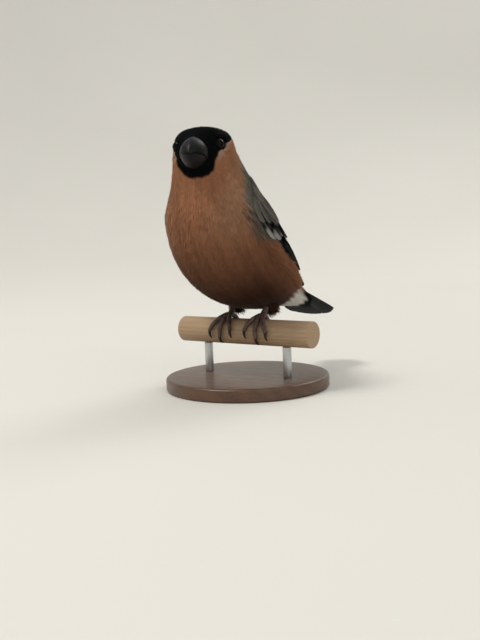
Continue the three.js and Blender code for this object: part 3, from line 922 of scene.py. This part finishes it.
def grow_coverts():
    """The soft small coverts and the scapulars, which lie over the folded arm."""
    count = COVERTS_TRIED
    u = rng.uniform(3.9, 6.9, count) + rng.normal(0, 0.1, count)
    angle = rng.uniform(22, 103, count)
    keep = angle < np.interp(u, COVERTS_U, COVERTS_ANGLE)
    u, angle = u[keep], angle[keep]
    n = len(u)
    ways = unit(tailward(u, angle))
    colour = markings(trunk_point(u, angle) + ways * 2.2)[0]
    colour = mix(colour, GREY * rng.uniform(0.86, 1.08, (n, 1)), smooth(100, 92, angle)[:, None])
    data = feather_data(
        trunk_point(u, angle, arm_lift(u, angle)), trunk_normal(u, angle), ways, u, angle,
        colour=colour, length=rng.uniform(5.2, 7.0, n), spread=0.5,
        rise=rng.uniform(0.55, 0.95, n) * mix(0.6, 1, smooth(4.0, 4.8, u)), width=0.28, deep=0.32,
    )
    coat_pieces("coverts_left", data, COVERT_BARBS, COAT_LOOK, ("wing_left",))
    for key in ("points", "normals", "ways"):
        data[key] = data[key] * [-1, 1, 1]
    data["bake"] = unwrap(u, -angle)
    coat_pieces("coverts_right", data, COVERT_BARBS, COAT_LOOK, ("wing_right",))


def grow_bristles():
    """Short black feathers that point forward over the root of the bill and hide the nostrils."""
    turn = np.concatenate([np.linspace(-widest, widest, count) for _, widest, count in BRISTLES])
    n = len(turn)
    turn = np.radians(turn + rng.normal(0, 1.5, n))
    place = np.concatenate([np.full(count, forward) for forward, _, count in BRISTLES])
    forward = place + rng.normal(0, 0.2, n) - 1.2 * (1 - np.cos(turn))
    _, ring = bill_ring(forward)
    points = head_point(forward, BILL_WIDE * ring * np.sin(turn), BILL_UP + BILL_TOP * ring * np.cos(turn))
    normals = head_way(0.15, np.sin(turn), np.cos(turn))
    ways = flatten(np.broadcast_to(head_way(1.0, 0.0, 0.0), (n, 3)), normals)
    data = feather_data(
        points, normals, ways, *trunk_place(points), colour=BLACK, length=rng.uniform(1.7, 2.5, n),
        spread=0.4, rise=rng.uniform(0.3, 0.6, n), width=0.12, deep=0.2,
    )
    coat_pieces("bristles", data, BRISTLE_BARBS, CAP_LOOK, ("head",))


def ring_round(look, turn, bend):
    """Directions at the angle bend from look, turned round it, and the ways outward there."""
    first = unit(np.cross(look, [0, 0, 1.0]))
    second = np.cross(look, first)
    out = np.cos(turn)[..., None] * first + np.sin(turn)[..., None] * second
    cosine, sine = np.cos(bend)[..., None], np.sin(bend)[..., None]
    return cosine * look + sine * out, cosine * out - sine * look


def grow_eye_rims():
    """Rows of minute black feathers that close round each eye, over the rim of its lids."""
    points, normals, away = [], [], []
    for centre, look in EYES.values():
        for opening, count in EYE_RIMS:
            turn = full_turn(count) + rng.normal(0, 0.02, count)
            rim, outward = ring_round(look, turn, math.radians(opening))
            points.append(centre + rim * (EYE_RADIUS + 0.02))
            normals.append(rim)
            away.append(outward)
    points, normals, away = (np.concatenate(rows) for rows in (points, normals, away))
    ways, u, angle = lie(points, normals)
    n = len(points)
    data = feather_data(
        points, normals, flatten(ways + 0.9 * away, normals), u, angle, colour=BLACK,
        length=rng.uniform(0.6, 0.95, n), spread=0.5, rise=rng.uniform(-0.3, -0.1, n), width=0.1, deep=0.1,
    )
    coat_pieces("eye_rims", data, RIM_BARBS, CAP_LOOK, ("head",))


grow_coat()
grow_coverts()
grow_bristles()
grow_eye_rims()


# Stiff feathers

# Points across a vane, from edge to edge, closest together over its shaft
COLUMNS = np.array([-1, -0.86, -0.6, -0.34, -0.12, -0.04, 0.04, 0.12, 0.34, 0.6, 0.86, 1])
VANE_THICK, VANE_CAMBER = 0.22, 0.1
SHAFT_RISE, SHAFT_WIDTH = 0.13, 0.2
WING_TILT, WING_STEPS = 0.26, 22
TAIL_TILT, TAIL_STEPS = 0.14, 30
TAIL_HALF_WIDTH = 3.3


def vane_outline(t, point):
    """A stiff feather's half width from root to tip; point runs from round (0) to pointed (1)."""
    start = mix(0.86, 0.62, point)
    tip = np.sqrt(np.maximum(0, 1 - (np.maximum(t - start, 0) / (1 - start)) ** mix(2.2, 1.5, point)))
    return (0.5 + 0.5 * smooth(0, 0.4, t)) * tip


def vane(path, normal, half, tilt, point, tint, steps):
    """One stiff feather as a thin closed shell with a raised shaft. tint(t, x) gives its colour."""
    t = 1 - (1 - np.linspace(0, 1, steps)) ** 1.25
    along = unit(path(np.minimum(t + 0.01, 1.01)) - path(t - 0.01))
    out = flatten(normal(t), along)
    across = np.cross(out, along)
    ragged = 1 + 0.02 * np.sin(t * 61 + rng.uniform(0, 6)) + 0.015 * np.sin(t * 113 + rng.uniform(0, 6))
    x = COLUMNS[None] * (half * vane_outline(t, point) * ragged)[:, None]
    rib = SHAFT_RISE * np.exp(-(x / SHAFT_WIDTH) ** 2) * (1 - 0.7 * t)[:, None]
    rise = -x * tilt - VANE_CAMBER * (x ** 2) / half + rib
    edge = (1 - COLUMNS ** 2)[None] * 0.8 + 0.2
    spread = path(t)[:, None] + across[:, None] * x[..., None]
    top = spread + out[:, None] * rise[..., None]
    low = spread + out[:, None] * (rise - VANE_THICK * edge - rib)[..., None]
    points = np.concatenate([top, low[:, ::-1]], 1).reshape(-1, 3)
    ring = 2 * len(COLUMNS)
    k = np.arange(len(COLUMNS) - 1)
    end = np.stack([k, k + 1, ring - 2 - k, ring - 1 - k], 1)
    faces = np.concatenate([grid_faces(steps, ring, closed=True), end[:, ::-1], end + (steps - 1) * ring])
    t, x = (v.ravel() for v in np.broadcast_arrays(t[:, None], np.concatenate([COLUMNS, COLUMNS[::-1]])))
    return points, faces, tint(t, x), np.stack([0.5 + 0.5 * x, t], -1)


def fringed(base, rim, where=0.8):
    """A feather's colour that turns to rim along its edges and tip."""
    def tint(t, x):
        amount = np.maximum(smooth(where, 1.0, np.abs(x)), smooth(0.93, 1.0, t))
        return mix(base, rim, amount[:, None]) * rng.uniform(0.94, 1.06)
    return tint


def barred(base, tip, start):
    """A feather's colour that turns to tip past start along its length."""
    def tint(t, x):
        amount = smooth(start - 0.08, start + 0.08, t + 0.03 * np.cos(x * 4))
        return mix(base, tip * rng.uniform(0.78, 1.05), amount[:, None])
    return tint


# Tiers of the folded wing from its outer feathers to the coverts over their roots: count, roots and tips
# (station and angle of the first and the last), heights over the trunk at root and tip, half width,
# pointedness, unevenness of the tips, and the colour by the feather's place in its tier
TIERS = (
    (8, ((7.2, 58), (6.8, 84)), ((9.5, 42), (10.9, 20)), (0.5, 1.8), 2.5, 0.9, 0.03,
     lambda k: fringed(FLIGHT, DARK_EDGE, 0.84)),
    (10, ((6.3, 48), (5.5, 102)), ((8.6, 30), (8.4, 65)), (1.0, 1.5), 3.0, 0.5, 0.03,
     lambda k: fringed(FLIGHT, DARK_EDGE, 0.84)),
    (3, ((6.2, 28), (6.4, 42)), ((7.9, 20), (8.9, 27)), (1.5, 2.3), 4.0, 0.3, 0.03,
     lambda k: fringed(FLIGHT, DARK_EDGE)),
    (14, ((5.7, 34), (4.8, 101)), ((7.1, 27), (5.85, 99)), (1.2, 2.1), 2.4, 0.4, 0.07,
     lambda k: barred(FLIGHT, BAR, mix(0.85, 0.55, smooth(0.82, 1.0, k)))),
    (12, ((5.1, 36), (4.5, 98)), ((5.95, 32), (5.15, 100)), (1.1, 2.0), 2.5, 0.15, 0.07,
     lambda k: fringed(SOFT_GREY, EDGE_GREY)),
)


def wing_vane(root, tip, lift, half, point, tint):
    """A stiff feather of the left wing, laid over the trunk from root to tip."""
    def place(t):
        return mix(root[0], tip[0], t), mix(root[1], tip[1], t)

    def path(t):
        return trunk_point(*place(t), mix(*lift, t))

    def normal(t):
        return trunk_normal(*place(np.clip(t, 0, 1)))

    return vane(path, normal, half, WING_TILT, point, tint, WING_STEPS)


def wing_arm():
    """The flesh of the folded wing under its coverts, as one soft cushion over the side."""
    rows, columns = 24, 20
    a, b = np.meshgrid(np.linspace(-1, 1, rows), np.linspace(-1, 1, columns), indexing="ij")
    u = mix(4.75, 7.1, (a + 1) / 2)
    angle = mix(33.0, 93 - 3 * a, (b + 1) / 2)
    swell = (1 - a ** 4) * (1 - b ** 4)
    top = trunk_point(u, angle, 0.5 + 1.1 * swell * smooth(6.3, 5.5, u))
    points = np.concatenate([top.reshape(-1, 3), trunk_point(u, angle).reshape(-1, 3)])
    faces = grid_faces(rows, columns)
    faces = np.concatenate([faces, faces[:, ::-1] + rows * columns])
    tint = mix(SOFT_GREY * 0.7, FLIGHT, smooth(5.0, 5.5, np.tile(u.ravel(), 2))[:, None])
    return points, faces, tint, np.zeros((len(points), 2))


def build_wings():
    parts = []
    for count, roots, tips, lift, half, point, uneven, tint in TIERS:
        for k in np.arange(count) / (count - 1):
            root, tip = (mix(*np.array(ends), k) for ends in (roots, tips))
            tip = tip + (rng.normal(0, uneven), rng.normal(0, 0.6))
            parts.append(wing_vane(root, tip, lift, half, point, tint(k)))
    make_sides(
        ("wing_feathers", joined(parts), VANES, "flight_feathers", "wing"),
        ("wing_arm", wing_arm(), COAT, "flight_feathers", "wing"),
    )


def build_tail():
    """Twelve feathers side by side, the middle ones uppermost, sloping down and rolled a little."""
    along = np.array([0, math.cos(TAIL_SLOPE), -math.sin(TAIL_SLOPE)])
    up = np.array([0, math.sin(TAIL_SLOPE), math.cos(TAIL_SLOPE)])
    aside = np.array([1.0, 0, 0])
    across = -(math.cos(TAIL_ROLL) * aside + math.sin(TAIL_ROLL) * up)
    out = math.cos(TAIL_ROLL) * up - math.sin(TAIL_ROLL) * aside
    parts = []
    for i in np.arange(-5.5, 6):
        def path(t, i=i, far=abs(i)):
            t = t[:, None]
            below = out * mix(0.25, 0.2, t) * far
            length = TAIL_LENGTH - TAIL_ROUNDING * far * far
            return (0, *TAIL_ROOT) + along * t * length + across * i * mix(0.8, 1.9, t) - below

        tint, tilt = fringed(FLIGHT, DARK_EDGE, 0.86), np.sign(i) * TAIL_TILT
        parts.append(vane(path, lambda t: out, TAIL_HALF_WIDTH, tilt, 0.25, tint, TAIL_STEPS))
    points, faces, tint, uv = joined(parts)
    make("tail_feathers", points, faces, VANES, "flight_feathers", ("tail",), tint, uv)


build_wings()
build_tail()


# The head's hard parts

BILL_ROWS, BILL_OUTER, BILL_INNER = 60, 41, 12
KEEL_RISE, KEEL_WIDTH = 0.3, 0.26
PIT_DEEP, PIT_RADIUS = 1.0, 0.95
PUPIL_EDGE, IRIS_EDGE = (0.36, 0.42), (0.78, 0.86)
LID_STEPS, LID_ROUND = 72, 14
LID_WIDE, LID_THICK = 0.26, 0.15


def bill_half(upper):
    """One half of the bill as a closed loft: a shell from cutting edge to cutting edge, and its floor."""
    forward = mix(BILL_START, BILL_TIP - 0.02, 1 - (1 - np.linspace(0, 1, BILL_ROWS)) ** 1.5)[:, None]
    t = (forward - BILL_ROOT) / (BILL_TIP - BILL_ROOT)
    past = np.abs(2 * t - 1)
    ring = np.maximum(np.where(t > 0.5, 1 - past ** 1.8, 1 - past ** 2), 1e-4) ** np.where(t > 0.5, 0.7, 0.5)
    centre = BILL_UP - BILL_DROOP * t ** 3
    sign, tall, other = (1, BILL_TOP, BILL_BOTTOM) if upper else (-1, BILL_BOTTOM, BILL_TOP)
    mouth = np.interp(forward, MOUTH[:, 0], MOUTH[:, 1]) + sign * MOUTH_GAP
    beyond = sign * (mouth - centre)
    reach = np.arccos(np.clip(beyond / (np.where(beyond > 0, tall, other) * ring), -0.98, 0.98))
    a = reach * np.linspace(-1, 1, BILL_OUTER)
    high = np.where(np.cos(a) > 0, tall, other) * ring * np.cos(a)
    keel = KEEL_RISE * np.exp(-(a / KEEL_WIDTH) ** 2) * ring if upper else 0
    side = BILL_WIDE * ring * np.sin(a) * (1 - 0.05 * np.cos(a) ** 4 if upper else 0.93)
    up = centre + sign * (high + keel)
    b = np.linspace(1, -1, BILL_INNER + 2)[1:-1]
    floor = up[:, -1:] - sign * 0.35 * (1 - b ** 2) * ring
    points = head_point(forward, np.hstack([side, side[:, -1:] * b]), np.hstack([up, floor])).reshape(-1, 3)
    ends = head_point(np.array([BILL_START, BILL_TIP]), 0.0, mouth[[0, -1], 0])
    points = np.concatenate([points, ends])
    faces = capped_faces(BILL_ROWS, BILL_OUTER + BILL_INNER)
    local, _ = head_place(points)
    for side in (1, -1):
        near = size(local - (NOSTRIL[0], side * NOSTRIL[1], NOSTRIL[2]))
        inward = unit(points - head_point(12.0, 0.0, -1.0))
        points = points - PIT_DEEP * smooth(PIT_RADIUS, 0.25, near)[:, None] * inward
    return points, faces if upper else turned_over(faces)


def eyeball(centre, look, rows=40, columns=56):
    """A ball whose clear front faces look, with the colours of pupil, iris and rim."""
    a, b = np.meshgrid(np.linspace(0, math.pi, rows), full_turn(columns), indexing="ij")
    bulge = (EYE_RADIUS - 0.1) * (1 + 0.045 * np.exp(-(a / 0.55) ** 2))
    points = centre + ring_round(look, b, a)[0] * bulge[..., None]
    a, b = a.reshape(-1, 1), b.reshape(-1, 1)
    tint = mix(PUPIL, IRIS * (1 + 0.2 * np.cos(18 * b)), smooth(*PUPIL_EDGE, a))
    tint = mix(tint, EYE_RIM, smooth(*IRIS_EDGE, a))
    return points.reshape(-1, 3), grid_faces(rows, columns, closed=True)[:, ::-1], tint


def lids(centre, look):
    """The upper and lower lid as one soft ring over the ball, drawn in a little at its corners."""
    turn = full_turn(LID_STEPS)
    rim, tangent = (v[:, None] for v in ring_round(look, turn, np.radians(51 + 4 * np.cos(2 * turn))))
    section = full_turn(LID_ROUND)[:, None]
    fold = (1 + 0.08 * np.sin(turn * 26))[:, None, None]
    profile = (np.cos(section) * tangent * LID_WIDE + np.sin(section) * rim * LID_THICK) * fold
    points = (centre + rim * (EYE_RADIUS - 0.02) + profile).reshape(-1, 3)
    faces = grid_faces(LID_STEPS + 1, LID_ROUND, closed=True) % len(points)
    return points, faces, np.tile(BLACK, (len(points), 1))


def build_head():
    for name, upper in (("bill_upper", True), ("bill_lower", False)):
        make(f"{name}_horn", *bill_half(upper), HORN, "bill_horn", (name,))
    for side, place in EYES.items():
        for name, shape, material in (("eyeball", eyeball, EYEBALL), ("lids", lids, CAP)):
            points, faces, tint = shape(*place)
            make(f"{name}_{side}", points, faces, material, "eye", (f"eye_{side}",), tint)


# The legs: each toe's start and end round the perch in degrees from its top, its drift to the side,
# the reach of its claw in degrees, and how many scales it has
TOES = ((-10, 105, 1, 38, 9), (-8, 78, -5, 34, 7), (-8, 84, 6.5, 34, 7), (8, -78, -0.5, 44, 7))
TOE_RADII = np.array([1.25, 1.05, 1.1, 0.95, 0.9]) * TOE_RADIUS
CLAW_RADII = np.array([0.78, 0.74, 0.6, 0.4, 0.12])
SHANK_RADII = np.array([1.3, 1, 1.1]) * TARSUS_RADIUS
SHANK_SCALES = 8
LIMB_STEPS, LIMB_ROUND = 90, 20
CLAW_STEPS, CLAW_ROUND = 30, 14


def tube(through, radii, steps, around, shape=None):
    """A limb along the curve through points, with shape(t, a) as a factor of its radius, and blunt ends."""
    t = np.linspace(0, 1, steps)
    middle = smooth_curve(np.array(through), t * (len(through) - 1))
    along = unit(np.gradient(middle, axis=0))
    across = unit(np.array([1.0, 0, 0]) - along * along[:, :1])
    out = np.cross(across, along)
    a = full_turn(around)
    radius = np.interp(t, np.linspace(0, 1, len(radii)), radii)[:, None]
    radius = radius * (shape(t[:, None], a[None]) if shape else np.ones(around))
    a = a[None, :, None]
    points = middle[:, None] + radius[..., None] * (np.cos(a) * across[:, None] + np.sin(a) * out[:, None])
    ends = middle[0] - along[0] * radii[0] * 0.5, middle[-1] + along[-1] * radii[-1] * 0.5
    return np.concatenate([points.reshape(-1, 3), ends]), capped_faces(steps, around)


def round_perch(angle, height, x):
    """Points at a height over the perch, at angles from its top towards the front."""
    a, radius = np.radians(angle), PERCH_RADIUS + 0.4 + height
    return np.stack([x + 0 * a, -np.sin(a) * radius, PERCH_Z + np.cos(a) * radius], -1)


def toe(start, end, drift, claw, scales):
    """A toe with scales above and pads below, and its claw."""
    def scaled(t, a):
        step, top = (t * scales) % 1, np.sin(a)
        plates = 0.07 * (step ** 0.6) * (top > -0.2) - 0.03
        pads = 0.1 * np.sin(t * math.pi * 3.2) ** 2 * (top < -0.2)
        return 1 + plates + pads

    t = np.linspace(0, 1, 9)
    walk = round_perch(mix(start, end, t), TOE_RADIUS + 0.15 * np.sin(t * 9), FOOT_SIDE + drift * t)
    t, way = np.linspace(0, 1, 6), math.copysign(1, end - start)
    height = mix(TOE_RADIUS, 0.15, t) + 0.5 * np.sin(t * math.pi)
    hook = round_perch(mix(end - 5 * way, end + claw * way, t), height, FOOT_SIDE + drift)
    skin = tube(walk, TOE_RADII, LIMB_STEPS, LIMB_ROUND, scaled)
    return skin, tube(hook, CLAW_RADII, CLAW_STEPS, CLAW_ROUND)


def shank():
    """The bare leg from the perch up to the ankle, with plates in front."""
    def plated(t, a):
        return 1 + 0.06 * (((t * SHANK_SCALES) % 1) ** 0.6) * (np.sin(a) > -0.3)

    foot = np.array([FOOT_SIDE, 1, PERCH_Z + PERCH_RADIUS + 0.6 + TOE_RADIUS])
    ankle = np.array([FOOT_SIDE + 1, 9, 44])
    return tube([foot, (foot + ankle) / 2, ankle], SHANK_RADII, LIMB_STEPS, LIMB_ROUND, plated)


def build_legs():
    skin, claws = zip(*(toe(*row) for row in TOES))
    make_sides(
        ("leg_skin", joined([*skin, shank()]), LEG, "leg_skin", "leg"),
        ("claws", joined(claws), CLAW, "leg_skin", "leg"),
    )


build_head()
build_legs()


# The stand

def lathe(profile, around, centre=(0, 0, 0), along="z"):
    """A profile of (radius, height) turned round an axis through centre."""
    radius, height = np.array(profile, float).T[..., None]
    a = full_turn(around)
    points = np.stack([radius * np.cos(a), radius * np.sin(a), height + 0 * a], -1).reshape(-1, 3)
    if along == "x":
        points = points[:, [2, 0, 1]]
    ends = points[:around].mean(0), points[-around:].mean(0)
    return np.concatenate([points, ends]) + centre, capped_faces(len(profile), around)


def rounded(radius, low, high, edge, steps=5):
    """A lathe profile with both rims rounded off by edge."""
    bend, inner = np.linspace(0, math.pi / 2, steps), radius - edge
    half = [(inner * k, 0) for k in (0.02, 0.4, 0.8)]
    half += [(inner + edge * math.sin(b), edge - edge * math.cos(b)) for b in bend]
    return [(r, low + z) for r, z in half] + [(r, high - z) for r, z in half[::-1]]


def build_stand():
    perch_wood = wood_material("perch_wood", PERCH_DARK, PERCH_PALE, 5200, 0.62, 0.0)
    base_wood = wood_material("base_wood", BASE_DARK, BASE_PALE, 1300, 0.4, 0.25)
    steel = steel_material()
    dowel = rounded(PERCH_RADIUS, -PERCH_LENGTH / 2, PERCH_LENGTH / 2, PERCH_EDGE)
    make("perch_dowel", *lathe(dowel, 72, (0, 0, PERCH_Z), "x"), perch_wood, "perch_wood", ("perch",))
    base = rounded(BASE_RADIUS, 0, BASE_HEIGHT, BASE_EDGE, 8)
    make("base_disc", *lathe(base, 128), base_wood, "base_wood", ("stand_base",))
    rod = rounded(ROD_RADIUS, ROD_LOW, ROD_HIGH, ROD_EDGE)
    for x, side in ((ROD_SIDE, "left"), (-ROD_SIDE, "right")):
        make(f"rod_{side}", *lathe(rod, 40, (x, 0, 0)), steel, "rod_steel", (f"stand_rod_{side}",))


build_stand()


# Floor, lights and camera

FLOOR_RADIUS, FLOOR_AROUND = 300, 96
SWEEP_WIDE, SWEEP_HIGH = 1650, 1500

# Each light's place, what it points at, its size, power and colour, in metres and watts
LIGHTS = {
    "key": ((-0.35, -0.6, 1.2), (0, 0, 0.07), 0.36, 9, (1.0, 0.96, 0.9)),
    "fill": ((0.9, -0.5, 0.6), (0, 0, 0.07), 0.7, 1.5, (0.95, 0.97, 1.0)),
    "rim": ((0.1, 0.9, 0.9), (0, 0, 0.07), 0.6, 3, (1.0, 0.98, 0.95)),
    "backdrop": ((-0.2, 0.9, 1.6), (-1.1, 1.7, 0.3), 1.0, 4.5, (1.0, 0.985, 0.95)),
}
SKY_COLOUR, SKY_STRENGTH = (1.0, 0.98, 0.95, 1), 0.52


def build_stage():
    """A round floor that sweeps up into a backdrop on all sides."""
    sweep = [
        (FLOOR_RADIUS + SWEEP_WIDE * math.sin(a), SWEEP_HIGH * (1 - math.cos(a)) ** 1.3)
        for a in np.linspace(0.05, 1.5, 24)
    ]
    points, faces = lathe([(0.001, 0), (FLOOR_RADIUS, 0), *sweep], FLOOR_AROUND)
    mesh = bpy.data.meshes.new("floor")
    mesh.from_pydata((points[:-2] * MM).tolist(), [], faces[:-2 * FLOOR_AROUND].tolist(), shade_flat=False)
    mesh.materials.append(mottled("pale_floor", 2.2, FLOOR_DARK, FLOOR_PALE, (0.75, 0.9))[0].material)
    floor = placed("floor", mesh)


def build_lights():
    for name, (at, aim, width, power, colour) in LIGHTS.items():
        light = bpy.data.lights.new(name, "AREA")
        light.shape, light.size, light.energy, light.color = "DISK", width, power, colour
        made = placed(name, light)
        made.location = at
        made.rotation_euler = (Vector(aim) - Vector(at)).to_track_quat("-Z", "Y").to_euler()
    world = bpy.data.worlds.new("studio")
    bpy.context.scene.world = world
    world.use_nodes = True
    background = world.node_tree.nodes["Background"]
    background.inputs["Color"].default_value = SKY_COLOUR
    background.inputs["Strength"].default_value = SKY_STRENGTH


def build_camera():
    turn, pitch, roll = (math.radians(v) for v in (CAMERA_TURN, CAMERA_PITCH, CAMERA_ROLL))
    forward = Vector((-math.sin(turn) * math.cos(pitch), math.cos(turn) * math.cos(pitch), -math.sin(pitch)))
    right = Vector((math.cos(turn), math.sin(turn), 0))
    up = right.cross(forward)
    tilted_right = math.cos(roll) * right - math.sin(roll) * up
    tilted_up = math.sin(roll) * right + math.cos(roll) * up
    data = bpy.data.cameras.new("camera")
    data.lens, data.sensor_width = CAMERA_LENS, 36
    data.clip_start, data.clip_end = 0.02, 20
    camera = placed("camera", data)
    axes = Matrix((tilted_right, tilted_up, -forward)).transposed()
    camera.matrix_world = Matrix.Translation(Vector(CAMERA_AT) * MM) @ axes.to_4x4()
    bpy.context.scene.camera = camera


build_stage()
build_lights()
build_camera()
bpy.context.scene.view_settings.view_transform = "Standard"
